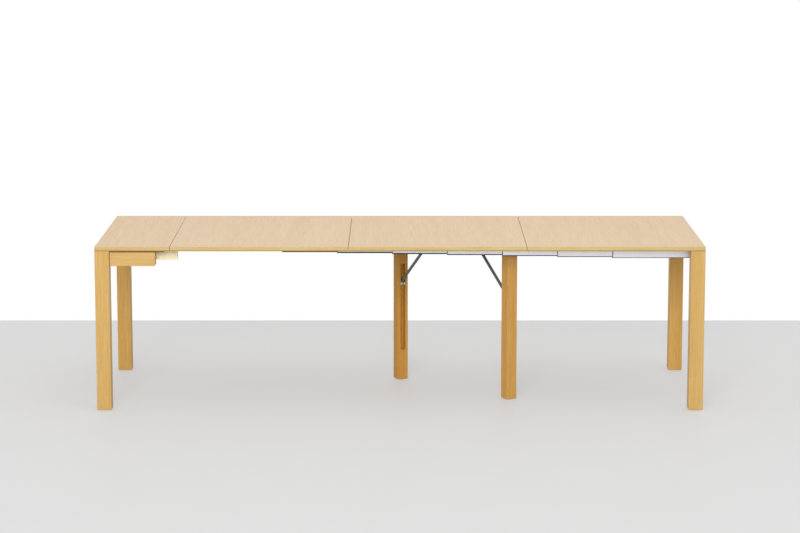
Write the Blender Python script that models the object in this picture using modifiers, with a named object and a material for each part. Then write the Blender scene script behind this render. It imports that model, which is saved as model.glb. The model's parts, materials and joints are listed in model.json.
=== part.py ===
"""Extendable console table, drawn out to its full length.

Two oak end frames are joined by a front and a rear run of nested aluminium channels.
Three loose leaves lie on the channels. Two diagonal folding legs stand under the middle.
Metres, +Z up, +X along the table, the origin on the floor under its middle.
"""
import math

import bmesh
import bpy
from mathutils import Matrix, Vector

# Table top
TOP_HEIGHT = 0.750
TOP_THICKNESS = 0.020
TABLE_DEPTH = 0.900
PANEL_LENGTH = 0.335
LEAF_LENGTH = 0.799
LEAF_COUNT = 3
BOARD_GAP = 0.002
BOARD_EDGE = 0.0012

# Fits
SEAT = 0.0003
PIN_CLEARANCE = 0.0003

# End frames
END_LEG = 0.065
LEG_EDGE = 0.002
GLIDE_HEIGHT = 0.002
GLIDE_RADIUS = 0.018
END_RAIL_THICKNESS = 0.022
END_RAIL_HEIGHT = 0.038
END_RAIL_SETBACK = 0.012
APRON_LENGTH = 0.205
FRONT_APRON_HEIGHT = 0.068
REAR_APRON_HEIGHT = 0.048
APRON_THICKNESS = 0.065
APRON_SETBACK = 0.004
CLEAT_LENGTH = 0.301
FRONT_CLEAT_HEIGHT = 0.050
REAR_CLEAT_HEIGHT = 0.040
CLEAT_THICKNESS = 0.025
SPACER_LENGTH = 0.244
SPACER_HEIGHT = 0.0055
SPACER_SETBACK = 0.006
WOOD_EDGE = 0.001

# Telescopic runs: member 1 is the largest, on the right frame, and the last is a plain bar
MEMBER_COUNT = 10
MEMBER_OVERLAP = 0.083
OUTER_REACH = 0.405
INNER_REACH = 0.0902
RUN_SETBACK = 0.105
RUN_WIDTH = 0.095
RUN_HEIGHT = 0.0485
CHANNEL_WALL = 0.0035
CHANNEL_CLEARANCE = 0.0003
ANGLE_LEG = 0.022
ANGLE_THICKNESS = 0.003
ANGLE_HEIGHT = 0.030

# Folding support legs, each hung from a cross bar at the left end of one member
SUPPORT_MEMBERS = {"front": 3, "rear": 5}
SUPPORT_OFFSET = 0.036
SUPPORT_INSET = 0.040
SUPPORT_TURN = {"front": math.radians(31.0), "rear": math.radians(25.0)}
CROSS_BAR_THICKNESS = 0.012
CROSS_BAR_PAD = 0.030
CROSS_BAR_PAD_GAP = 0.002
CROSS_BAR_HEIGHT = 0.036
CROSS_BAR_INSET = 0.001
PLATE_THICKNESS = 0.005
PLATE_HALF_WIDTH = 0.026
PLATE_REACH = 0.045
ARM_HALF_WIDTH = 0.014
ARM_TAPER = 0.040
SUPPORT_LEG = 0.052
HINGE_KNUCKLE_RADIUS = 0.0045
HINGE_DROP = 0.0055
HINGE_PIN_RADIUS = 0.0025
HINGE_LEAF_THICKNESS = 0.002
HINGE_LEAF_LENGTH = 0.055
HINGE_LEAF_HALF_WIDTH = 0.018
LEG_KNUCKLE_HALF = 0.010
PLATE_KNUCKLE_LENGTH = 0.010
KNUCKLE_GAP = 0.0005

# Stay from the leg's groove to the catch on the arm
GROOVE_WIDTH = 0.024
GROOVE_DEPTH = 0.024
GROOVE_START = 0.1216
GROOVE_END_SPACE = 0.006
PIVOT_DROP = 0.2046
CATCH_DISTANCE = 0.266
CATCH_DROP = 0.0154
CATCH_HALF_LENGTH = 0.013
CATCH_HALF_WIDTH = 0.009
CATCH_LIP = 0.005
STAY_RADIUS = 0.007
STAY_ROD_SLACK = 0.00014
STAY_END_WIDTH = 0.016
EYE_RADIUS = 0.009
EYE_WIDTH = 0.0144
CLEVIS_PIN_RADIUS = 0.003
CLEVIS_CHEEK = 0.003
CLEVIS_RISE = 0.009
CLEVIS_FALL = 0.018
CLEVIS_FACE_GAP = 0.001
CLEVIS_BASE = 0.0015

ROUND_SIDES = 24

# Worked out from the sizes above
TABLE_LENGTH = PANEL_LENGTH + LEAF_COUNT * (LEAF_LENGTH + BOARD_GAP)
LEFT = -TABLE_LENGTH / 2
RIGHT = TABLE_LENGTH / 2
FRONT = -TABLE_DEPTH / 2
BACK = TABLE_DEPTH / 2
UNDERSIDE = TOP_HEIGHT - TOP_THICKNESS
REST_LEVEL = UNDERSIDE - SEAT
CHANNEL_STEP = CHANNEL_WALL + CHANNEL_CLEARANCE
MEMBER_PITCH = (TABLE_LENGTH - OUTER_REACH - INNER_REACH) / (MEMBER_COUNT - 1)
END_RAIL_INNER = END_RAIL_SETBACK + END_RAIL_THICKNESS
RUN_CENTRE = TABLE_DEPTH / 2 - RUN_SETBACK - RUN_WIDTH / 2
SUPPORT_SPREAD = RUN_CENTRE - RUN_WIDTH / 2 - SUPPORT_INSET
CROSS_BAR_BOTTOM = REST_LEVEL - CROSS_BAR_INSET - CROSS_BAR_HEIGHT
PLATE_TOP = CROSS_BAR_BOTTOM - SEAT
PLATE_BOTTOM = PLATE_TOP - PLATE_THICKNESS
SUPPORT_TOP = PLATE_BOTTOM - SEAT
HINGE_OUT = SUPPORT_LEG / 2 + SEAT + HINGE_KNUCKLE_RADIUS
HINGE_HEIGHT = SUPPORT_TOP - HINGE_DROP
PIVOT_OUT = SUPPORT_LEG / 2 - GROOVE_DEPTH / 2
PIVOT_HEIGHT = HINGE_HEIGHT - PIVOT_DROP
CATCH_HEIGHT = PLATE_BOTTOM - CATCH_DROP
GROOVE_TOP = HINGE_HEIGHT - GROOVE_START
STAY_LENGTH = math.hypot(CATCH_DISTANCE - PIVOT_OUT, CATCH_HEIGHT - PIVOT_HEIGHT)
STAY_SLOPE = math.atan2(CATCH_HEIGHT - PIVOT_HEIGHT, CATCH_DISTANCE - PIVOT_OUT)
GROOVE_BOTTOM = PIVOT_HEIGHT - STAY_LENGTH - STAY_RADIUS - GROOVE_END_SPACE


# Scene, collections and materials
for old in list(bpy.data.objects):
    bpy.data.objects.remove(old, do_unlink=True)


def new_collection(name):
    collection = bpy.data.collections.new(name)
    bpy.context.scene.collection.children.link(collection)
    return collection


PARTS = new_collection("extendable_console_table")
CUTTERS = new_collection("cutters")


def new_material(name, colour, roughness, metallic):
    material = bpy.data.materials.new(name)
    material.use_nodes = True
    shader = material.node_tree.nodes["Principled BSDF"]
    shader.inputs["Base Color"].default_value = (*colour, 1.0)
    shader.inputs["Roughness"].default_value = roughness
    shader.inputs["Metallic"].default_value = metallic
    return material


OAK = new_material("oak", (0.60, 0.40, 0.19), 0.45, 0.0)
PALE_WOOD = new_material("pale_wood", (0.74, 0.62, 0.42), 0.50, 0.0)
ALUMINIUM = new_material("anodised_aluminium", (0.62, 0.63, 0.65), 0.35, 1.0)
STEEL = new_material("dark_steel", (0.16, 0.16, 0.16), 0.40, 1.0)
ZINC = new_material("zinc", (0.70, 0.70, 0.68), 0.35, 1.0)
PLASTIC = new_material("glide_plastic", (0.12, 0.10, 0.08), 0.60, 0.0)


# Shapes
def add_object(name, mesh, material=None, collection=None, parent=None):
    item = bpy.data.objects.new(name, mesh)
    (collection or PARTS).objects.link(item)
    if material:
        mesh.materials.append(material)
    item.parent = parent
    return item


def cutter(name, mesh, parent=None):
    item = add_object(name, mesh, collection=CUTTERS, parent=parent)
    item.hide_render = True
    item.display_type = "WIRE"
    return item


def box_mesh(name, size):
    shape = bmesh.new()
    bmesh.ops.create_cube(shape, size=1.0)
    bmesh.ops.scale(shape, vec=Vector(size), verts=shape.verts)
    mesh = bpy.data.meshes.new(name)
    shape.to_mesh(mesh)
    shape.free()
    return mesh


def rod_mesh(name, radius, length, axis="Z"):
    shape = bmesh.new()
    bmesh.ops.create_cone(shape, cap_ends=True, segments=ROUND_SIDES,
                          radius1=radius, radius2=radius, depth=length)
    if axis == "Y":
        bmesh.ops.rotate(shape, matrix=Matrix.Rotation(math.pi / 2, 3, "X"), verts=shape.verts)
    if axis == "X":
        bmesh.ops.rotate(shape, matrix=Matrix.Rotation(math.pi / 2, 3, "Y"), verts=shape.verts)
    mesh = bpy.data.meshes.new(name)
    shape.to_mesh(mesh)
    shape.free()
    mesh.shade_smooth()
    mesh.set_sharp_from_angle(angle=math.radians(40))
    return mesh


def span(low, high):
    """Size and centre of the box between two corners."""
    low, high = Vector(low), Vector(high)
    return high - low, (high + low) / 2


def add_box(name, low, high, material, edge=0.0, parent=None):
    size, centre = span(low, high)
    item = add_object(name, box_mesh(name, size), material, parent=parent)
    item.location = centre
    if edge:
        bevel = item.modifiers.new("rounded_edges", "BEVEL")
        bevel.width = edge
        bevel.segments = 2
    return item


def box_cutter(name, low, high, parent=None):
    size, centre = span(low, high)
    item = cutter(name, box_mesh(name, size), parent)
    item.location = centre
    return item


def rod_cutter(name, radius, length, centre, axis, parent=None):
    item = cutter(name, rod_mesh(name, radius, length, axis), parent)
    item.location = centre
    return item


def combine(item, other, operation):
    boolean = item.modifiers.new(other.name, "BOOLEAN")
    boolean.operation = operation
    boolean.object = other


def plate_mesh(name, outline, thickness):
    """A flat plate from its outline, as a mesh that can take a Boolean."""
    curve = bpy.data.curves.new(name, "CURVE")
    curve.dimensions = "2D"
    curve.fill_mode = "BOTH"
    curve.extrude = thickness / 2
    spline = curve.splines.new("POLY")
    spline.points.add(len(outline) - 1)
    for point, (x, y) in zip(spline.points, outline):
        point.co = (x, y, 0.0, 1.0)
    spline.use_cyclic_u = True
    drawn = bpy.data.objects.new(name + "_outline", curve)
    CUTTERS.objects.link(drawn)
    graph = bpy.context.evaluated_depsgraph_get()
    mesh = bpy.data.meshes.new_from_object(drawn.evaluated_get(graph))
    bpy.data.objects.remove(drawn, do_unlink=True)
    shape = bmesh.new()
    shape.from_mesh(mesh)
    bmesh.ops.remove_doubles(shape, verts=shape.verts, dist=0.00001)
    bmesh.ops.recalc_face_normals(shape, faces=shape.faces)
    shape.to_mesh(mesh)
    shape.free()
    return mesh


# Table top
def build_top():
    add_box("console_top", (LEFT, FRONT, UNDERSIDE), (LEFT + PANEL_LENGTH, BACK, TOP_HEIGHT),
            OAK, BOARD_EDGE)
    for number in range(1, LEAF_COUNT + 1):
        start = LEFT + PANEL_LENGTH + BOARD_GAP + (number - 1) * (LEAF_LENGTH + BOARD_GAP)
        add_box(f"leaf_{number}", (start, FRONT, UNDERSIDE), (start + LEAF_LENGTH, BACK, TOP_HEIGHT),
                OAK, BOARD_EDGE)


# End frames
def build_glide(name, x, y):
    glide = add_object(name, rod_mesh(name, GLIDE_RADIUS, GLIDE_HEIGHT), PLASTIC)
    glide.location = (x, y, GLIDE_HEIGHT / 2)
    return glide


def build_end_legs(side, x_low):
    foot = GLIDE_HEIGHT + SEAT
    for place, y_low in (("front", FRONT), ("rear", BACK - END_LEG)):
        add_box(f"{side}_{place}_leg", (x_low, y_low, foot),
                (x_low + END_LEG, y_low + END_LEG, REST_LEVEL), OAK, LEG_EDGE)
        build_glide(f"{side}_{place}_glide", x_low + END_LEG / 2, y_low + END_LEG / 2)


def build_end_rail(side, x_low):
    reach = TABLE_DEPTH / 2 - END_LEG - SEAT
    add_box(f"{side}_end_rail", (x_low, -reach, REST_LEVEL - END_RAIL_HEIGHT),
            (x_low + END_RAIL_THICKNESS, reach, REST_LEVEL), OAK, WOOD_EDGE)


def build_left_sides():
    """Short aprons beside the left legs, each under a dark spacer and with a cleat behind it.

    The cleats reach under the first leaf. The rear apron and cleat are shallower, because the
    front support leg folds away beneath them.
    """
    x_low = LEFT + END_LEG + SEAT
    for place, sign, height, cleat_height in (("front", -1, FRONT_APRON_HEIGHT, FRONT_CLEAT_HEIGHT),
                                              ("rear", 1, REAR_APRON_HEIGHT, REAR_CLEAT_HEIGHT)):
        outer = TABLE_DEPTH / 2 - APRON_SETBACK
        inner = outer - APRON_THICKNESS
        y_low, y_high = sorted((sign * outer, sign * inner))
        add_box(f"left_{place}_apron", (x_low, y_low, REST_LEVEL - height),
                (x_low + APRON_LENGTH, y_high, REST_LEVEL - SPACER_HEIGHT - SEAT), OAK, WOOD_EDGE)
        y_low, y_high = sorted((sign * (outer - SPACER_SETBACK), sign * inner))
        add_box(f"left_{place}_spacer", (x_low, y_low, REST_LEVEL - SPACER_HEIGHT),
                (x_low + SPACER_LENGTH, y_high, REST_LEVEL), PLASTIC)
        cleat_outer = inner - SEAT
        y_low, y_high = sorted((sign * cleat_outer, sign * (cleat_outer - CLEAT_THICKNESS)))
        add_box(f"left_{place}_cleat", (x_low, y_low, REST_LEVEL - cleat_height),
                (x_low + CLEAT_LENGTH, y_high, REST_LEVEL), PALE_WOOD, WOOD_EDGE)


# Telescopic runs
def member_left(number):
    return RIGHT - OUTER_REACH - (number - 1) * MEMBER_PITCH


def member_width(number):
    return RUN_WIDTH - 2 * CHANNEL_STEP * (number - 1)


def member_height(number):
    return RUN_HEIGHT - CHANNEL_STEP * (number - 1)


def member_ends(number):
    left = member_left(number)
    right = left + MEMBER_PITCH + MEMBER_OVERLAP
    if number == 1:
        right = RIGHT - END_RAIL_INNER - SEAT
    if number == MEMBER_COUNT:
        left = LEFT + END_RAIL_INNER + SEAT
    return left, right


def build_member(place, number, centre):
    """One channel, open at the top, or the plain bar that ends the run."""
    name = f"{place}_channel_{number}" if number < MEMBER_COUNT else f"{place}_inner_bar"
    left, right = member_ends(number)
    half = member_width(number) / 2
    floor = REST_LEVEL - member_height(number)
    item = add_box(name, (left, centre - half, floor), (right, centre + half, REST_LEVEL), ALUMINIUM)
    if number == MEMBER_COUNT:
        return
    trough = box_cutter(name + "_trough",
                        (left - CHANNEL_WALL, centre - half + CHANNEL_WALL, floor + CHANNEL_WALL),
                        (right + CHANNEL_WALL, centre + half - CHANNEL_WALL, REST_LEVEL + CHANNEL_WALL))
    combine(item, trough, "DIFFERENCE")


def build_angle(place, centre):
    """Steel angle inside the largest channel, which holds it to the right end rail's inner face."""
    name = f"right_{place}_rail_angle"
    half = member_width(1) / 2 - CHANNEL_WALL - SEAT
    face = RIGHT - END_RAIL_INNER - SEAT
    floor = REST_LEVEL - member_height(1) + CHANNEL_WALL + SEAT
    angle = add_box(name, (face - ANGLE_LEG, centre - half, floor),
                    (face, centre + half, floor + ANGLE_THICKNESS), STEEL)
    upright = box_cutter(name + "_upright", (face - ANGLE_THICKNESS, centre - half, floor),
                         (face, centre + half, floor + ANGLE_HEIGHT))
    combine(angle, upright, "UNION")


def build_cross_bar(place, number):
    """Bar between the two channels of a stage, with a wide pad in the middle that seats the bracket."""
    name = f"{place}_support_cross_bar"
    left = member_left(number) + CROSS_BAR_INSET
    top = CROSS_BAR_BOTTOM + CROSS_BAR_HEIGHT
    reach = RUN_CENTRE - member_width(number) / 2 - SEAT
    bar = add_box(name, (left, -reach, CROSS_BAR_BOTTOM), (left + CROSS_BAR_THICKNESS, reach, top), STEEL)
    inner = RUN_CENTRE - RUN_WIDTH / 2 - CROSS_BAR_PAD_GAP
    pad = box_cutter(name + "_pad", (left, -inner, CROSS_BAR_BOTTOM), (left + CROSS_BAR_PAD, inner, top))
    combine(bar, pad, "UNION")


def build_runs():
    for place, sign in (("front", -1), ("rear", 1)):
        for number in range(1, MEMBER_COUNT + 1):
            build_member(place, number, sign * RUN_CENTRE)
        build_angle(place, sign * RUN_CENTRE)
    for place, number in SUPPORT_MEMBERS.items():
        build_cross_bar(place, number)


# Folding support legs, drawn in their own frame: +X is the way the leg folds
def support_frame(place, sign):
    frame = bpy.data.objects.new(f"{place}_support_frame", None)
    PARTS.objects.link(frame)
    frame.location = (member_left(SUPPORT_MEMBERS[place]) + SUPPORT_OFFSET, sign * SUPPORT_SPREAD, 0.0)
    frame.rotation_euler = (0.0, 0.0, SUPPORT_TURN[place] - sign * math.pi / 2)
    return frame


def leg_hinge(place, frame):
    """Empty on the hinge's axis. What turns with the leg is its child and keeps the frame's coordinates."""
    hinge = bpy.data.objects.new(f"{place}_leg_hinge", None)
    PARTS.objects.link(hinge)
    hinge.parent = frame
    hinge.location = (HINGE_OUT, 0.0, HINGE_HEIGHT)
    return hinge


def hang_on(item, hinge):
    item.parent = hinge
    item.matrix_parent_inverse = Matrix.Translation(-hinge.location)


def build_support_bracket(place, frame):
    arm_end = CATCH_DISTANCE + CATCH_HALF_LENGTH
    outline = [(-PLATE_HALF_WIDTH, -PLATE_HALF_WIDTH), (PLATE_REACH, -PLATE_HALF_WIDTH),
               (PLATE_REACH + ARM_TAPER, -ARM_HALF_WIDTH), (arm_end, -ARM_HALF_WIDTH)]
    outline += [(x, -y) for x, y in reversed(outline)]
    name = f"{place}_support_bracket"
    bracket = add_object(name, plate_mesh(name, outline, PLATE_THICKNESS), STEEL, parent=frame)
    bracket.location = (0.0, 0.0, PLATE_TOP - PLATE_THICKNESS / 2)
    for sign in (-1, 1):
        middle = sign * (LEG_KNUCKLE_HALF + KNUCKLE_GAP + PLATE_KNUCKLE_LENGTH / 2)
        half = PLATE_KNUCKLE_LENGTH / 2
        lug = box_cutter(f"{name}_lug_{sign}",
                         (HINGE_OUT - HINGE_KNUCKLE_RADIUS, middle - half, HINGE_HEIGHT),
                         (HINGE_OUT + HINGE_KNUCKLE_RADIUS, middle + half, PLATE_TOP - PLATE_THICKNESS / 2),
                         frame)
        knuckle = rod_cutter(f"{name}_knuckle_{sign}", HINGE_KNUCKLE_RADIUS, PLATE_KNUCKLE_LENGTH,
                             (HINGE_OUT, middle, HINGE_HEIGHT), "Y", frame)
        combine(bracket, lug, "UNION")
        combine(bracket, knuckle, "UNION")
    bore = rod_cutter(f"{name}_bore", HINGE_PIN_RADIUS + PIN_CLEARANCE, 4 * PLATE_HALF_WIDTH,
                      (HINGE_OUT, 0.0, HINGE_HEIGHT), "Y", frame)
    combine(bracket, bore, "DIFFERENCE")


def build_catch(place, frame):
    """Block under the arm's end, with a cradle for the end of the stay."""
    name = f"{place}_stay_catch"
    near, far = CATCH_DISTANCE - CATCH_HALF_LENGTH, CATCH_DISTANCE + CATCH_HALF_LENGTH
    block = add_box(name, (near, -CATCH_HALF_WIDTH, CATCH_HEIGHT + CATCH_LIP),
                    (far, CATCH_HALF_WIDTH, PLATE_BOTTOM - SEAT), ZINC, parent=frame)
    cradle = rod_cutter(name + "_cradle", STAY_RADIUS + SEAT, 4 * CATCH_HALF_WIDTH,
                        (CATCH_DISTANCE, 0.0, CATCH_HEIGHT), "Y", frame)
    combine(block, cradle, "DIFFERENCE")


def build_hinge(place, frame, hinge):
    """Pin, and the leaf on the leg with its knuckle."""
    half = LEG_KNUCKLE_HALF + KNUCKLE_GAP + PLATE_KNUCKLE_LENGTH
    pin = add_object(f"{place}_hinge_pin", rod_mesh("hinge_pin", HINGE_PIN_RADIUS, 2 * half, "Y"),
                     ZINC, parent=frame)
    pin.location = (HINGE_OUT, 0.0, HINGE_HEIGHT)
    face = SUPPORT_LEG / 2 + SEAT
    name = f"{place}_hinge_leaf"
    shoulder = HINGE_HEIGHT - HINGE_KNUCKLE_RADIUS - KNUCKLE_GAP
    leaf = add_box(name, (face, -HINGE_LEAF_HALF_WIDTH, shoulder - HINGE_LEAF_LENGTH),
                   (face + HINGE_LEAF_THICKNESS, HINGE_LEAF_HALF_WIDTH, shoulder), STEEL)
    neck = box_cutter(name + "_neck", (face, -LEG_KNUCKLE_HALF, shoulder - HINGE_LEAF_LENGTH / 2),
                      (face + HINGE_LEAF_THICKNESS, LEG_KNUCKLE_HALF, HINGE_HEIGHT), frame)
    knuckle = rod_cutter(name + "_knuckle", HINGE_KNUCKLE_RADIUS, 2 * LEG_KNUCKLE_HALF,
                         (HINGE_OUT, 0.0, HINGE_HEIGHT), "Y", frame)
    bore = rod_cutter(name + "_bore", HINGE_PIN_RADIUS + PIN_CLEARANCE, 4 * LEG_KNUCKLE_HALF,
                      (HINGE_OUT, 0.0, HINGE_HEIGHT), "Y", frame)
    hang_on(leaf, hinge)
    combine(leaf, neck, "UNION")
    combine(leaf, knuckle, "UNION")
    combine(leaf, bore, "DIFFERENCE")


def build_support_leg(place, frame, hinge):
    half = SUPPORT_LEG / 2
    foot = GLIDE_HEIGHT + SEAT
    name = f"{place}_support_leg"
    leg = add_box(name, (-half, -half, foot), (half, half, SUPPORT_TOP), OAK, LEG_EDGE)
    groove = box_cutter(name + "_groove", (half - GROOVE_DEPTH, -GROOVE_WIDTH / 2, GROOVE_BOTTOM),
                        (half + GROOVE_DEPTH, GROOVE_WIDTH / 2, GROOVE_TOP), frame)
    combine(leg, groove, "DIFFERENCE")
    hang_on(leg, hinge)
    glide = build_glide(f"{place}_support_glide", 0.0, 0.0)
    hang_on(glide, hinge)


def build_stay(place, frame, hinge):
    """Steel rod with an eye on the leg's pivot and a crosswise end in the catch."""
    name = f"{place}_stay"
    middle = ((PIVOT_OUT + CATCH_DISTANCE) / 2, 0.0, (PIVOT_HEIGHT + CATCH_HEIGHT) / 2)
    stay = add_object(name, rod_mesh(name, EYE_RADIUS, EYE_WIDTH, "Y"), STEEL)
    stay.location = (PIVOT_OUT, 0.0, PIVOT_HEIGHT)
    rod = rod_cutter(name + "_rod", STAY_RADIUS - STAY_ROD_SLACK, STAY_LENGTH, middle, "X", frame)
    rod.rotation_euler = (0.0, -STAY_SLOPE, 0.0)
    end = rod_cutter(name + "_end", STAY_RADIUS, STAY_END_WIDTH,
                     (CATCH_DISTANCE, 0.0, CATCH_HEIGHT), "Y", frame)
    bore = rod_cutter(name + "_bore", CLEVIS_PIN_RADIUS + PIN_CLEARANCE, 4 * EYE_WIDTH,
                      (PIVOT_OUT, 0.0, PIVOT_HEIGHT), "Y", frame)
    hang_on(stay, hinge)
    combine(stay, rod, "UNION")
    combine(stay, end, "UNION")
    combine(stay, bore, "DIFFERENCE")


def build_stay_clevis(place, frame, hinge):
    """Clevis in the groove: a base on the groove's floor, two cheeks and the pivot pin."""
    floor = SUPPORT_LEG / 2 - GROOVE_DEPTH + SEAT
    inner = EYE_WIDTH / 2 + PIN_CLEARANCE
    outer = inner + CLEVIS_CHEEK
    low, high = PIVOT_HEIGHT - CLEVIS_FALL, PIVOT_HEIGHT + CLEVIS_RISE
    name = f"{place}_stay_clevis"
    clevis = add_box(name, (floor, -outer, low), (floor + CLEVIS_BASE, outer, high), ZINC)
    hang_on(clevis, hinge)
    for sign in (-1, 1):
        y_low, y_high = sorted((sign * inner, sign * outer))
        cheek = box_cutter(f"{name}_cheek_{sign}", (floor, y_low, low),
                           (SUPPORT_LEG / 2 - CLEVIS_FACE_GAP, y_high, high), frame)
        combine(clevis, cheek, "UNION")
    pin = rod_cutter(name + "_pin", CLEVIS_PIN_RADIUS, 2 * outer - CLEVIS_CHEEK,
                     (PIVOT_OUT, 0.0, PIVOT_HEIGHT), "Y", frame)
    combine(clevis, pin, "UNION")


def build_supports():
    for place, sign in (("front", -1), ("rear", 1)):
        frame = support_frame(place, sign)
        hinge = leg_hinge(place, frame)
        build_support_bracket(place, frame)
        build_catch(place, frame)
        build_hinge(place, frame, hinge)
        build_support_leg(place, frame, hinge)
        build_stay(place, frame, hinge)
        build_stay_clevis(place, frame, hinge)


build_top()
build_end_legs("left", LEFT)
build_end_legs("right", RIGHT - END_LEG)
build_end_rail("left", LEFT + END_RAIL_SETBACK)
build_end_rail("right", RIGHT - END_RAIL_INNER)
build_left_sides()
build_runs()
build_supports()
bpy.context.view_layer.update()
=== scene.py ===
import json
import math

import bmesh
import bpy
from mathutils import Matrix, Vector


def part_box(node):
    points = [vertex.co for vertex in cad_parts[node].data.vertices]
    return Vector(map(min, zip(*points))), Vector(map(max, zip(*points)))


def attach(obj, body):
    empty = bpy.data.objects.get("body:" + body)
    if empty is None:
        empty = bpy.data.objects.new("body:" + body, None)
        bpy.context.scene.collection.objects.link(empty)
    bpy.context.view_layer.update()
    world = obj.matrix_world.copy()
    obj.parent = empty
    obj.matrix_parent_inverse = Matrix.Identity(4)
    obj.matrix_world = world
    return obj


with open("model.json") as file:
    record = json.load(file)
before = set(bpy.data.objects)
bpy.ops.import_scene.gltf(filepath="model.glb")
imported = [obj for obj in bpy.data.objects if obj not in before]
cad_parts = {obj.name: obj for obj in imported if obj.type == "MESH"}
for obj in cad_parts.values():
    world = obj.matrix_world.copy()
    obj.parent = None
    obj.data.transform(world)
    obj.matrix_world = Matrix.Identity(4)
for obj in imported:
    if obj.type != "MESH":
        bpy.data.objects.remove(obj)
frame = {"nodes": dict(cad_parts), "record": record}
nodes = frame["nodes"]
scene = bpy.context.scene
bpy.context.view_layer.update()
print("frame loaded:", len(nodes), "CAD nodes")


# Shader maths: a socket that takes part in Python expressions
class Wire:
    def __init__(self, finish, socket):
        self.finish = finish
        self.socket = socket

    def math(self, operation, *terms):
        return self.finish.add("ShaderNodeMath", {"operation": operation}, dict(enumerate(terms)))

    def __add__(self, other):
        return self.math("ADD", self, other)

    def __radd__(self, other):
        return self.math("ADD", other, self)

    def __sub__(self, other):
        return self.math("SUBTRACT", self, other)

    def __rsub__(self, other):
        return self.math("SUBTRACT", other, self)

    def __mul__(self, other):
        return self.math("MULTIPLY", self, other)

    def __rmul__(self, other):
        return self.math("MULTIPLY", other, self)

    def __truediv__(self, other):
        return self.math("DIVIDE", self, other)

    def __rtruediv__(self, other):
        return self.math("DIVIDE", other, self)

    def __gt__(self, other):
        return self.math("GREATER_THAN", self, other)

    def __lt__(self, other):
        return self.math("LESS_THAN", self, other)

    def __abs__(self):
        return self.math("ABSOLUTE", self)

    def __floor__(self):
        return self.math("FLOOR", self)


class NodeSheet:
    def __init__(self, owner, shaderName):
        owner.use_nodes = True
        self.tree = owner.node_tree
        self.shader = self.tree.nodes[shaderName]

    def add(self, kind, settings, values, out=0):
        node = self.tree.nodes.new(kind)
        for key, value in settings.items():
            setattr(node, key, value)
        for key, value in values.items():
            self.feed(node.inputs[key], value)
        return Wire(self, node.outputs[out])

    def feed(self, socket, value):
        if isinstance(value, Wire):
            self.tree.links.new(value.socket, socket)
        else:
            socket.default_value = value

    def seen(self):
        # one on rays from the camera, straight or by way of metal and glass
        camera, glossy, through = [self.add("ShaderNodeLightPath", {}, {}, "Is " + kind + " Ray")
                                   for kind in ("Camera", "Glossy", "Transmission")]
        return camera.math("MAXIMUM", camera.math("MAXIMUM", camera, glossy), through)

    def between(self, value, span, ends=(0.0, 1.0)):
        return self.add("ShaderNodeMapRange", {}, {"Value": value, "From Min": span[0], "From Max": span[1],
                                                   "To Min": ends[0], "To Max": ends[1]})


class Finish(NodeSheet):
    def __init__(self, name, roughness=0.5, metallic=0.0, specular=0.5):
        self.material = bpy.data.materials.new(name)
        super().__init__(self.material, "Principled BSDF")
        self.shader.inputs["Roughness"].default_value = roughness
        self.shader.inputs["Metallic"].default_value = metallic
        self.shader.inputs["Specular IOR Level"].default_value = specular

    def place(self):
        return self.add("ShaderNodeTexCoord", {}, {}, "Object")

    def facing(self):
        return self.add("ShaderNodeTexCoord", {}, {}, "Normal")

    def axis(self, vector, letter):
        return self.add("ShaderNodeSeparateXYZ", {}, {0: vector}, letter)

    def stretched(self, vector, along, counts):
        # the first count is along the grain's axis, the second across it
        scale = tuple(counts[0] if letter == along else counts[1] for letter in "XYZ")
        return self.add("ShaderNodeMapping", {}, {"Vector": vector, "Scale": scale})

    def noise(self, vector, scale=1.0, detail=2.0, rough=0.5, bend=0.0):
        return self.add("ShaderNodeTexNoise", {}, {"Vector": vector, "Scale": scale, "Detail": detail,
                                                   "Roughness": rough, "Distortion": bend})

    def mix(self, mask, first, second):
        first = first if isinstance(first, Wire) else (*first, 1.0)
        second = second if isinstance(second, Wire) else (*second, 1.0)
        return self.add("ShaderNodeMix", {"data_type": "RGBA"}, {0: mask, 6: first, 7: second}, 2)

    def bump(self, height, look):
        return self.add("ShaderNodeBump", {}, {"Height": height, "Strength": look["bumpStrength"],
                                               "Distance": look["bumpHeight"]})

    def set(self, **sockets):
        names = {"colour": "Base Color", "roughness": "Roughness", "normal": "Normal",
                 "glow": "Emission Color"}
        for key, value in sockets.items():
            self.feed(self.shader.inputs[names[key]], value)


noiseSpan = (0.3, 0.7)       # where most of a noise's values lie
upperSpan = (0.35, 0.7)
sideways = 0.5               # a face whose normal leans further than this counts as facing that way
black = (0.0, 0.0, 0.0)


def linear(*levels):
    # sRGB levels as judged, for Blender's colour sockets
    shares = [level / 255 for level in levels]
    return tuple(share / 12.92 if share < 0.04 else ((share + 0.055) / 1.055) ** 2.4 for share in shares)


def worn(look):
    # the ends between which a surface's roughness changes
    return look["roughness"] - look["smoother"], look["roughness"] + look["rougher"]


# Camera: low tele view of the long side, slightly from above
cameraLook = {
    "place": (0.0, -11.186, 2.569),
    "tilt": 8.665,           # degrees down
    "lens": 109.47,
    "sensor": 36.0,
    "shift": -0.075,
    "farthest": 100.0,
}


def makeCamera(look):
    lens = bpy.data.cameras.new("tableCamera")
    lens.sensor_width = look["sensor"]
    lens.lens = look["lens"]
    lens.shift_y = look["shift"]
    lens.clip_end = look["farthest"]
    camera = bpy.data.objects.new("tableCamera", lens)
    camera.location = look["place"]
    camera.rotation_euler = (math.radians(90.0 - look["tilt"]), 0.0, 0.0)
    scene.collection.objects.link(camera)
    scene.camera = camera
    print("camera set")


makeCamera(cameraLook)


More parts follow.
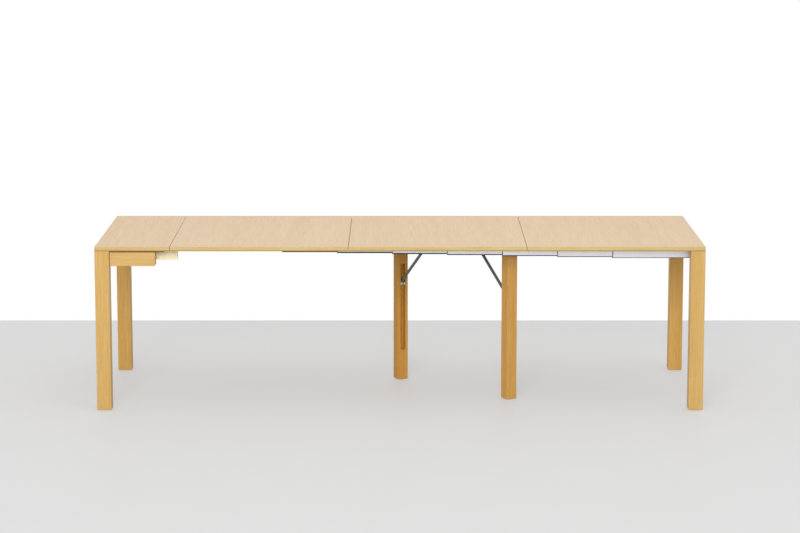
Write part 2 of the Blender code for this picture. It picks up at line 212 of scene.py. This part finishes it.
# Studio: pale floor, white behind it, one broad low lamp from the front left and a weak one from above
studioLook = {
    "floorColour": linear(232, 232, 232),
    "floorPatch": linear(224, 224, 224),
    "patchScale": 3.0,
    "patchDetail": 3.0,
    "patchShare": 0.25,
    "floorBounce": linear(195, 195, 195),  # darker for the light that it throws up under the table
    "floorGlow": linear(216, 216, 216),
    "floorEven": 0.5,        # share of the seen floor that is even, so that the shadow on it stays light
    "floorRoughness": 0.6,
    "floorSpecular": 0.2,
    "floorHalf": 7.0,
    "floorFar": 1.62,        # the floor ends here, against the white
    "floorNear": -16.0,
    "floorDrop": 0.0005,     # below the glides
    "fillLevel": 0.585,
    "keyPower": 1150.0,
    "keyPlace": (-1.55, -13.85, 5.6),
    "keySize": 6.0,
    "topPower": 45.0,
    "topPlace": (1.2, -1.5, 6.0),
    "topSize": 4.0,
    "lampAim": (0.0, 0.0, 0.4),
}


def makeFloor(look):
    shape = bmesh.new()
    bmesh.ops.create_grid(shape, x_segments=1, y_segments=1, size=1.0)
    depth = look["floorFar"] - look["floorNear"]
    bmesh.ops.scale(shape, vec=(look["floorHalf"], depth / 2, 1.0), verts=shape.verts)
    middle = look["floorNear"] + depth / 2
    bmesh.ops.translate(shape, vec=(0.0, middle, -look["floorDrop"]), verts=shape.verts)
    mesh = bpy.data.meshes.new("studioFloor")
    shape.to_mesh(mesh)
    shape.free()
    floor = bpy.data.objects.new("studioFloor", mesh)
    scene.collection.objects.link(floor)
    paint = Finish("paleFloor", look["floorRoughness"], specular=look["floorSpecular"])
    patch = paint.between(paint.noise(paint.place(), look["patchScale"], look["patchDetail"]), noiseSpan,
                          (0.0, look["patchShare"]))
    tone = paint.mix(patch, look["floorColour"], look["floorPatch"])
    seen = paint.seen()
    even = seen * look["floorEven"]
    paint.set(colour=paint.mix(seen, look["floorBounce"], paint.mix(even, tone, black)),
              glow=paint.mix(even, black, look["floorGlow"]))
    paint.shader.inputs["Emission Strength"].default_value = 1.0
    mesh.materials.append(paint.material)


def makeLamp(name, power, place, size, aim):
    lamp = bpy.data.lights.new(name, "AREA")
    lamp.energy = power
    lamp.size = size
    holder = bpy.data.objects.new(name, lamp)
    holder.location = place
    holder.rotation_euler = (Vector(aim) - Vector(place)).to_track_quat("-Z", "Y").to_euler()
    scene.collection.objects.link(holder)


def makeSky(look):
    # white where it is seen, dimmer as a light
    scene.world = bpy.data.worlds.new("studioWhite")
    sky = NodeSheet(scene.world, "Background")
    sky.shader.inputs["Color"].default_value = (1.0, 1.0, 1.0, 1.0)
    sky.feed(sky.shader.inputs["Strength"], sky.between(sky.seen(), (0.0, 1.0), (look["fillLevel"], 1.0)))


scene.view_settings.view_transform = "Standard"
makeFloor(studioLook)
makeSky(studioLook)
for lampName in ("key", "top"):
    makeLamp(lampName + "Lamp", studioLook[lampName + "Power"], studioLook[lampName + "Place"],
             studioLook[lampName + "Size"], studioLook["lampAim"])
print("studio set")


# Oak: fine pores and streaks along the grain, slow bands across it
oakLook = {
    "streak": (5.0, 260.0),  # cycles in a metre, along the grain and across it
    "streakDetail": 3.0,
    "streakRough": 0.6,
    "streakSpan": (0.38, 0.72),
    "streakShare": 0.75,
    "streakHeight": 0.5,
    "band": (0.9, 26.0),
    "bandBend": 0.4,
    "pore": (34.0, 700.0),
    "poreDetail": 1.0,
    "poreSpan": (0.58, 0.72),
    "poreShare": 0.30,
    "poreDepth": 0.6,
    "bumpStrength": 0.14,
    "bumpHeight": 0.0004,
    "smoother": 0.05,
    "rougher": 0.08,
}


def oakPattern(finish, vector, along, colours, poreDepth):
    streak = finish.noise(finish.stretched(vector, along, oakLook["streak"]),
                          detail=oakLook["streakDetail"], rough=oakLook["streakRough"])
    band = finish.noise(finish.stretched(vector, along, oakLook["band"]), bend=oakLook["bandBend"])
    fleck = finish.noise(finish.stretched(vector, along, oakLook["pore"]), detail=oakLook["poreDetail"])
    pore = finish.between(fleck, oakLook["poreSpan"])
    tone = finish.mix(finish.between(band, noiseSpan), colours["light"], colours["middle"])
    dark = finish.between(streak, oakLook["streakSpan"], (0.0, oakLook["streakShare"]))
    tone = finish.mix(dark, tone, colours["dark"])
    tone = finish.mix(pore * oakLook["poreShare"], tone, colours["pore"])
    height = streak * oakLook["streakHeight"] - pore * poreDepth
    return tone, height, streak


boardLook = {
    "veneer": {"light": linear(240, 213, 178), "middle": linear(234, 204, 166),
               "dark": linear(225, 191, 148), "pore": linear(198, 160, 115)},
    "lipping": {"light": linear(219, 192, 135), "middle": linear(208, 177, 118),
                "dark": linear(193, 158, 95), "pore": linear(159, 120, 64)},
    "shift": 0.037,          # the pattern moves on by this from board to board
    "stripWidth": 0.145,     # veneer leaves laid side by side
    "stripSeed": 10.0,
    "stripChange": 0.10,
    "rimStart": 0.416,       # the lipping is 34 mm wide on the top
    "rimLight": linear(246, 226, 184),
    "rimShare": 0.45,
    # painted shade: the lowest few millimetres of the board's front and back faces are darkened for the shade
    # under the eased lower edge
    "paintedShade": (0.7325, 0.7365),
    "paintedShadeStrength": 0.75,
    "poreDepth": 0.5,
    "bumpStrength": 0.10,
    "bumpHeight": 0.0004,
    "roughness": 0.46,
    "smoother": 0.05,
    "rougher": 0.07,
    "specular": 0.3,
}


def makeBoardFinish(name, look, shift):
    # veneer with its grain across the table, and solid lipping with its grain along each long edge
    finish = Finish(name, look["roughness"], specular=look["specular"])
    vector = finish.place()
    strip = math.floor((finish.axis(vector, "X") + shift) / look["stripWidth"])
    shade = finish.add("ShaderNodeTexWhiteNoise", {"noise_dimensions": "1D"},
                       {"W": strip + shift * look["stripSeed"]})
    veneer, height, streak = oakPattern(finish, vector, "Y", look["veneer"], look["poreDepth"])
    veneer = finish.mix(shade * look["stripChange"], veneer, look["veneer"]["dark"])
    lipping = oakPattern(finish, vector, "X", look["lipping"], look["poreDepth"])[0]
    side = abs(finish.axis(finish.facing(), "Y")) > sideways
    rim = abs(finish.axis(vector, "Y")) > look["rimStart"]
    # painted shade on the lower edge of the lipping
    low = finish.between(finish.axis(vector, "Z"), look["paintedShade"], (look["paintedShadeStrength"], 0.0))
    edge = finish.mix(low, lipping, look["lipping"]["pore"])
    tone = finish.mix(rim, veneer, finish.mix(look["rimShare"], lipping, look["rimLight"]))
    finish.set(colour=finish.mix(side, tone, edge), normal=finish.bump(height, look),
               roughness=finish.between(streak, noiseSpan, worn(look)))
    return finish.material


legLook = {
    "colours": {"light": linear(219, 182, 114), "middle": linear(208, 168, 96),
                "dark": linear(194, 150, 76), "pore": linear(157, 110, 51)},
    "roughness": 0.44,
    "specular": 0.3,
}

# painted shade: the same oak as the front legs, made warmer for the warm shade under the table
shadedRearLegLook = {
    "colours": {"light": linear(225, 182, 107), "middle": linear(214, 168, 89),
                "dark": linear(199, 149, 69), "pore": linear(160, 110, 48)},
    "roughness": 0.46,
    "specular": 0.2,
}

cleatLook = {
    "colours": {"light": linear(254, 246, 213), "middle": linear(251, 239, 202),
                "dark": linear(243, 228, 185), "pore": linear(220, 198, 152)},
    "roughness": 0.55,
    "specular": 0.3,
}


def startOak(name, look, along):
    # solid wood, with its colour still to be set
    finish = Finish(name, look["roughness"], specular=look["specular"])
    tone, height, streak = oakPattern(finish, finish.place(), along, look["colours"], oakLook["poreDepth"])
    finish.set(normal=finish.bump(height, oakLook),
               roughness=finish.between(streak, noiseSpan, worn({**oakLook, "roughness": look["roughness"]})))
    return finish, tone


def makeOakFinish(name, look, along):
    finish, tone = startOak(name, look, along)
    finish.set(colour=tone)
    return finish.material


apronLook = {
    "colours": {"light": linear(224, 187, 121), "middle": linear(213, 173, 103),
                "dark": linear(198, 154, 83), "pore": linear(160, 112, 52)},
    "roughness": 0.44,
    "specular": 0.3,
    # painted shadow: a dark band at the end that meets the leg
    "paintedShade": (0.004, 0.0056),
    "paintedShadeStrength": 0.85,
}


def makeApronFinish(name, look, leftEnd):
    # painted shadow: the end that meets the leg is darkened for the shadow line in the joint
    finish, tone = startOak(name, look, "X")
    shadeSpan = [leftEnd + distance for distance in look["paintedShade"]]
    paintedShade = finish.between(finish.axis(finish.place(), "X"), shadeSpan, (look["paintedShadeStrength"], 0.0))
    finish.set(colour=finish.mix(paintedShade, tone, look["colours"]["pore"]))
    return finish.material


# The hinge, the stay and the groove of a support leg lie in one upright plane, through the pin and the catch
def legFrame(end):
    hinge = sum(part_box(end + "_hinge_pin"), Vector()) / 2
    catch = sum(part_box(end + "_stay_catch"), Vector()) / 2
    out = Vector((catch.x - hinge.x, catch.y - hinge.y, 0.0)).normalized()
    across = Vector((-out.y, out.x, 0.0))
    return hinge, catch, out, across


frontSupportLook = {
    "colours": {"light": linear(221, 173, 98), "middle": linear(211, 161, 84),
                "dark": linear(194, 142, 67), "pore": linear(151, 102, 45)},
    "groove": linear(148, 92, 24),
    "roughness": 0.50,
    "specular": 0.12,
}

# painted shade: the same oak as the front support leg, made darker and warmer for the deeper shade this leg
# stands in
shadedRearSupportLook = {
    "colours": {"light": linear(217, 166, 85), "middle": linear(206, 153, 72),
                "dark": linear(189, 134, 55), "pore": linear(146, 93, 32)},
    "groove": linear(140, 84, 14),
    "roughness": 0.50,
    "specular": 0.12,
}

# the share of painted shade inside the routed groove
grooveLook = {"halfWidth": 0.0122, "mouth": 0.0255, "grooveShadeShare": 0.1}


def makeSupportFinish(name, look, end):
    # oak along the leg, with painted shade darkening the inside of the routed groove
    finish, tone = startOak(name, look, "Z")
    vector = finish.place()
    middle = sum(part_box(end + "_support_leg"), Vector()) / 2
    out, across = legFrame(end)[2:]
    x = finish.axis(vector, "X") - middle.x
    y = finish.axis(vector, "Y") - middle.y
    depth = x * out.x + y * out.y
    side = abs(x * across.x + y * across.y)
    inside = (side < grooveLook["halfWidth"]) * (depth > 0.0) * (depth < grooveLook["mouth"])
    finish.set(colour=finish.mix(inside * grooveLook["grooveShadeShare"], tone, look["groove"]))
    return finish.material


channelLook = {
    "face": linear(211, 211, 213),
    "brushed": linear(200, 200, 203),
    "lines": (3.0, 900.0),   # cycles in a metre, along the channel and across it
    "lineRough": 0.6,
    "cloudScale": 14.0,
    # painted shade: a dark band along the lower edge of each channel's upright faces, for the shade on its
    # lower radius
    "lowerEdgeShade": linear(54, 56, 58),
    "edgeShadeHeight": 0.0030,    # on the widest channel
    "edgeShadeStep": 0.0007,      # more on each narrower one
    "edgeShadeFade": (0.8, 1.1),
    "barEdgeShade": 0.0001,       # the solid bars show none
    "bumpStrength": 0.06,
    "bumpHeight": 0.0002,
    "roughness": 0.40,
    "smoother": 0.04,
    "rougher": 0.06,
}


def makeChannelFinish(name, look, floorLevel, edgeShadeHeight):
    # anodised aluminium brushed along its length, with painted shade as a dark band on the radius at its
    # lower edge
    finish = Finish(name, look["roughness"], metallic=1.0)
    vector = finish.place()
    line = finish.noise(finish.stretched(vector, "X", look["lines"]), rough=look["lineRough"])
    cloud = finish.noise(vector, look["cloudScale"])
    tone = finish.mix(finish.between(line, upperSpan), look["face"], look["brushed"])
    shadeSpan = [floorLevel + edgeShadeHeight * share for share in look["edgeShadeFade"]]
    lower = finish.between(finish.axis(vector, "Z"), shadeSpan, (1.0, 0.0))
    upright = abs(finish.axis(finish.facing(), "Z")) < sideways
    finish.set(colour=finish.mix(lower * upright, tone, look["lowerEdgeShade"]), normal=finish.bump(line, look),
               roughness=finish.between(cloud, noiseSpan, worn(look)))
    return finish.material


metalLook = {
    "cloudScale": 60.0,
    "cloudDetail": 4.0,
    "cloudRough": 0.6,
    "gritScale": 900.0,
    "bumpStrength": 0.08,
    "bumpHeight": 0.0002,
    "smoother": 0.06,
    "rougher": 0.10,
}
steelLook = {**metalLook, "colour": linear(102, 103, 102), "worn": linear(118, 118, 116),
             "roughness": 0.48, "metallic": 0.25}
zincLook = {**metalLook, "colour": linear(212, 211, 206), "worn": linear(190, 189, 184),
            "roughness": 0.36, "metallic": 0.8}


def metalCloud(finish, look):
    return finish.noise(finish.place(), look["cloudScale"], look["cloudDetail"], look["cloudRough"])


def makeMetalFinish(name, look):
    finish = Finish(name, look["roughness"], look["metallic"])
    cloud = metalCloud(finish, look)
    grit = finish.noise(finish.place(), look["gritScale"])
    finish.set(colour=finish.mix(finish.between(cloud, upperSpan), look["colour"], look["worn"]),
               roughness=finish.between(cloud, noiseSpan, worn(look)),
               normal=finish.bump(grit, look))
    return finish.material


# the dark colour is painted shade round the pivot
clevisLook = {**metalLook, "dark": linear(62, 61, 60), "bright": linear(232, 231, 226), "drop": 0.0065,
              "roughness": 0.42, "metallic": 0.6, "bumpStrength": 0.05}


def makeClevisFinish(name, look, end):
    # painted shade: near black round the pivot, where the stay's eye and the groove shade it; bright zinc on
    # the lip below the stay's eye
    finish = Finish(name, look["roughness"], look["metallic"])
    cloud = metalCloud(finish, look)
    pivot = next(joint["pos_m"] for joint in frame["record"]["behaviour"]["joints"]
                 if joint["name"] == end + "_stay_swing")
    lip = finish.axis(finish.place(), "Z") < pivot[2] - look["drop"]
    finish.set(colour=finish.mix(lip, look["dark"], look["bright"]),
               roughness=finish.between(cloud, noiseSpan, worn(look)),
               normal=finish.bump(cloud, look))
    return finish.material


plasticLook = {"cloudScale": 90.0, "cloudDetail": 3.0, "grainScale": 1400.0, "bumpStrength": 0.10,
               "bumpHeight": 0.0002}
nylonLook = {**plasticLook, "colour": linear(74, 76, 80), "pale": linear(92, 94, 98), "roughness": 0.55}
glideLook = {**plasticLook, "colour": linear(70, 62, 54), "pale": linear(88, 80, 70), "roughness": 0.7}
# the spacers under the top are dark brown so that they also make the shadow line between top and apron: a
# real spacer with painted shadow
spacerShadowLook = {**plasticLook, "colour": linear(112, 80, 40), "pale": linear(132, 98, 54), "roughness": 0.7}


def makeNylonFinish(name, look):
    finish = Finish(name, look["roughness"])
    vector = finish.place()
    cloud = finish.noise(vector, look["cloudScale"], look["cloudDetail"])
    grain = finish.noise(vector, look["grainScale"])
    finish.set(colour=finish.mix(finish.between(cloud, upperSpan), look["colour"], look["pale"]),
               normal=finish.bump(grain, look))
    return finish.material


def dress(material, *names):
    for name in names:
        for slot in nodes[name].material_slots:
            slot.material = material


for number, name in enumerate(("console_top", "leaf_1", "leaf_2", "leaf_3"), 1):
    dress(makeBoardFinish("oakBoard" + str(number), boardLook, boardLook["shift"] * number), name)
dress(makeOakFinish("oakUpright", legLook, "Z"), "left_front_leg", "right_front_leg")
dress(makeOakFinish("oakUprightRearShaded", shadedRearLegLook, "Z"), "left_rear_leg", "right_rear_leg")
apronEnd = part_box("left_front_apron")[0].x
dress(makeApronFinish("oakLengthwise", apronLook, apronEnd), "left_front_apron", "left_rear_apron")
dress(makeOakFinish("oakCrosswise", legLook, "Y"), "left_end_rail", "right_end_rail")
dress(makeSupportFinish("oakSupportFront", frontSupportLook, "front"), "front_support_leg")
dress(makeSupportFinish("oakSupportRearShaded", shadedRearSupportLook, "rear"), "rear_support_leg")
dress(makeOakFinish("paleCleat", cleatLook, "X"), "left_front_cleat", "left_rear_cleat")
stages = range(1, 10)
for stage in stages:
    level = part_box("front_channel_" + str(stage))[0].z
    edgeShadeHeight = channelLook["edgeShadeHeight"] + channelLook["edgeShadeStep"] * (stage - 1)
    dress(makeChannelFinish(f"anodised{stage}", channelLook, level, edgeShadeHeight),
          f"front_channel_{stage}", f"rear_channel_{stage}")
dress(makeChannelFinish("anodisedBar", channelLook, 0.0, channelLook["barEdgeShade"]),
      "front_inner_bar", "rear_inner_bar")
darkSteel = makeMetalFinish("darkSteel", steelLook)
zincSteel = makeMetalFinish("zincSteel", zincLook)
for end in ("front", "rear"):
    dress(darkSteel, end + "_support_cross_bar", end + "_support_bracket", end + "_hinge_leaf",
          end + "_stay", "right_" + end + "_rail_angle")
    dress(zincSteel, end + "_stay_catch", end + "_hinge_pin")
    dress(makeClevisFinish("stayClevis_" + end, clevisLook, end), end + "_stay_clevis")
    dress(makeNylonFinish("glidePlastic_" + end, glideLook),
          "left_" + end + "_glide", "right_" + end + "_glide", end + "_support_glide")
    dress(makeNylonFinish("spacerShadowLine_" + end, spacerShadowLook), "left_" + end + "_spacer")
print("CAD nodes dressed")


# New pieces
weldDistance = 0.00001


def finishPiece(name, shape, material, body):
    bmesh.ops.remove_doubles(shape, verts=shape.verts, dist=weldDistance)
    bmesh.ops.recalc_face_normals(shape, faces=shape.faces)
    mesh = bpy.data.meshes.new(name)
    shape.to_mesh(mesh)
    shape.free()
    mesh.materials.append(material)
    piece = bpy.data.objects.new(name, mesh)
    scene.collection.objects.link(piece)
    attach(piece, body)


# Nylon collar round the mouth of each channel, where the next one runs out of it
collarLook = {"depth": 0.0034, "wall": 0.0035, "inset": 0.0002}
collarNylon = makeNylonFinish("collarNylon", nylonLook)


def addCollar(shape, low, high, look):
    # a U of four corners, drawn out along the channel and thickened inwards
    inset = look["inset"]
    left = low.x - look["depth"]
    corners = [(left, low.y + inset, high.z - inset), (left, low.y + inset, low.z + inset),
               (left, high.y - inset, low.z + inset), (left, high.y - inset, high.z - inset)]
    verts = [shape.verts.new(corner) for corner in corners]
    edges = [shape.edges.new(pair) for pair in zip(verts, verts[1:])]
    drawn = bmesh.ops.extrude_edge_only(shape, edges=edges)["geom"]
    moved = [item for item in drawn if isinstance(item, bmesh.types.BMVert)]
    bmesh.ops.translate(shape, vec=(look["depth"], 0.0, 0.0), verts=moved)
    faces = [item for item in drawn if isinstance(item, bmesh.types.BMFace)]
    middle = Vector((0.0, (low.y + high.y) / 2, high.z))
    for face in faces:  # all faces look outwards, so the wall goes in
        face.normal_update()
        if face.normal.dot(face.calc_center_median() - middle) < 0:
            face.normal_flip()
    bmesh.ops.solidify(shape, geom=faces, thickness=look["wall"] - 2 * inset)


def makeCollars(look):
    for stage in stages:
        shape = bmesh.new()
        for end in ("front", "rear"):
            addCollar(shape, *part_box(f"{end}_channel_{stage}"), look)
        body = "right_frame" if stage == 1 else f"stage_{stage}"
        finishPiece(f"channel_collars_{stage}", shape, collarNylon, body)
    print("channel collars made")


makeCollars(collarLook)


# Six-lobe pan-head screws: on the hinge leaves, through the arms into the catches, and along the cleats
screwLook = {
    "radius": 0.0036,
    "sides": 24,
    "height": 0.0016,
    "rim": 0.0008,
    "rimSteps": 3,
    "socket": 0.0018,
    "lobes": 6,
    "lobe": 0.16,            # how far a lobe swells from the socket's ring
    "depth": 0.0009,
}
screwSteel = makeMetalFinish("screwSteel", zincLook)


def addScrew(shape, place, look):
    # a disc drawn up to a head with a rounded rim, and a lobed socket sunk into it
    known = set(shape.verts)
    bmesh.ops.create_circle(shape, cap_ends=True, segments=look["sides"], radius=look["radius"])
    base = [face for face in shape.faces if not known.intersection(face.verts)]
    drawn = bmesh.ops.extrude_face_region(shape, geom=base)["geom"]
    top = [item for item in drawn if isinstance(item, bmesh.types.BMFace)][0]
    bmesh.ops.translate(shape, vec=(0.0, 0.0, look["height"]), verts=top.verts)
    bmesh.ops.bevel(shape, geom=list(top.edges), offset=look["rim"], offset_type="OFFSET", affect="EDGES",
                    segments=look["rimSteps"], profile=0.5, material=-1)
    discs = [face for face in shape.faces if face.verts[0] not in known and len(face.verts) == look["sides"]]
    top = max(discs, key=lambda face: face.calc_center_median().z)
    bmesh.ops.inset_region(shape, faces=[top], thickness=look["radius"] - look["rim"] - look["socket"],
                           use_even_offset=True)
    for vert in top.verts:  # push every other stretch of the ring out into a lobe
        swell = 1.0 + look["lobe"] * math.cos(look["lobes"] * math.atan2(vert.co.y, vert.co.x))
        vert.co.x *= swell
        vert.co.y *= swell
    sunk = bmesh.ops.extrude_face_region(shape, geom=[top])["geom"]
    bmesh.ops.delete(shape, geom=[top], context="FACES_ONLY")
    bmesh.ops.translate(shape, vec=(0.0, 0.0, -look["depth"]),
                        verts=[item for item in sunk if isinstance(item, bmesh.types.BMVert)])
    fresh = [vert for vert in shape.verts if vert not in known]
    bmesh.ops.transform(shape, matrix=place, verts=fresh)


def screwPlace(point, outward):
    return Matrix.Translation(point) @ Vector(outward).to_track_quat("Z", "Y").to_matrix().to_4x4()


def makeScrewSet(name, points, outward, body):
    shape = bmesh.new()
    for point in points:
        addScrew(shape, screwPlace(point, outward), screwLook)
    finishPiece(name, shape, screwSteel, body)


hingeScrewLook = {"faceBack": 0.0025, "spread": 0.0115, "drops": (0.018, 0.046)}
catchScrewLook = {"spread": 0.0075}
cleatScrewLook = {"inset": 0.030, "count": 4}
sides = (-1, 1)


def makeScrews(end, stage, inward):
    hinge, catch, out, across = legFrame(end)
    face = hinge - out * hingeScrewLook["faceBack"]
    points = [face + across * hingeScrewLook["spread"] * side - Vector((0.0, 0.0, drop))
              for side in sides for drop in hingeScrewLook["drops"]]
    makeScrewSet(end + "_hinge_screws", points, out, end + "_leg")
    armTop = Vector((catch.x, catch.y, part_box(end + "_support_bracket")[1].z))
    points = [armTop + out * catchScrewLook["spread"] * side for side in sides]
    makeScrewSet(end + "_catch_screws", points, (0.0, 0.0, 1.0), stage)
    low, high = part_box("left_" + end + "_cleat")
    face = high.y if inward > 0 else low.y
    step = (high.x - low.x - 2 * cleatScrewLook["inset"]) / (cleatScrewLook["count"] - 1)
    points = [Vector((low.x + cleatScrewLook["inset"] + number * step, face, (low.z + high.z) / 2))
              for number in range(cleatScrewLook["count"])]
    makeScrewSet(end + "_cleat_screws", points, (0.0, inward, 0.0), "left_frame")


makeScrews("front", "stage_3", 1.0)
makeScrews("rear", "stage_5", -1.0)
print("screws made")
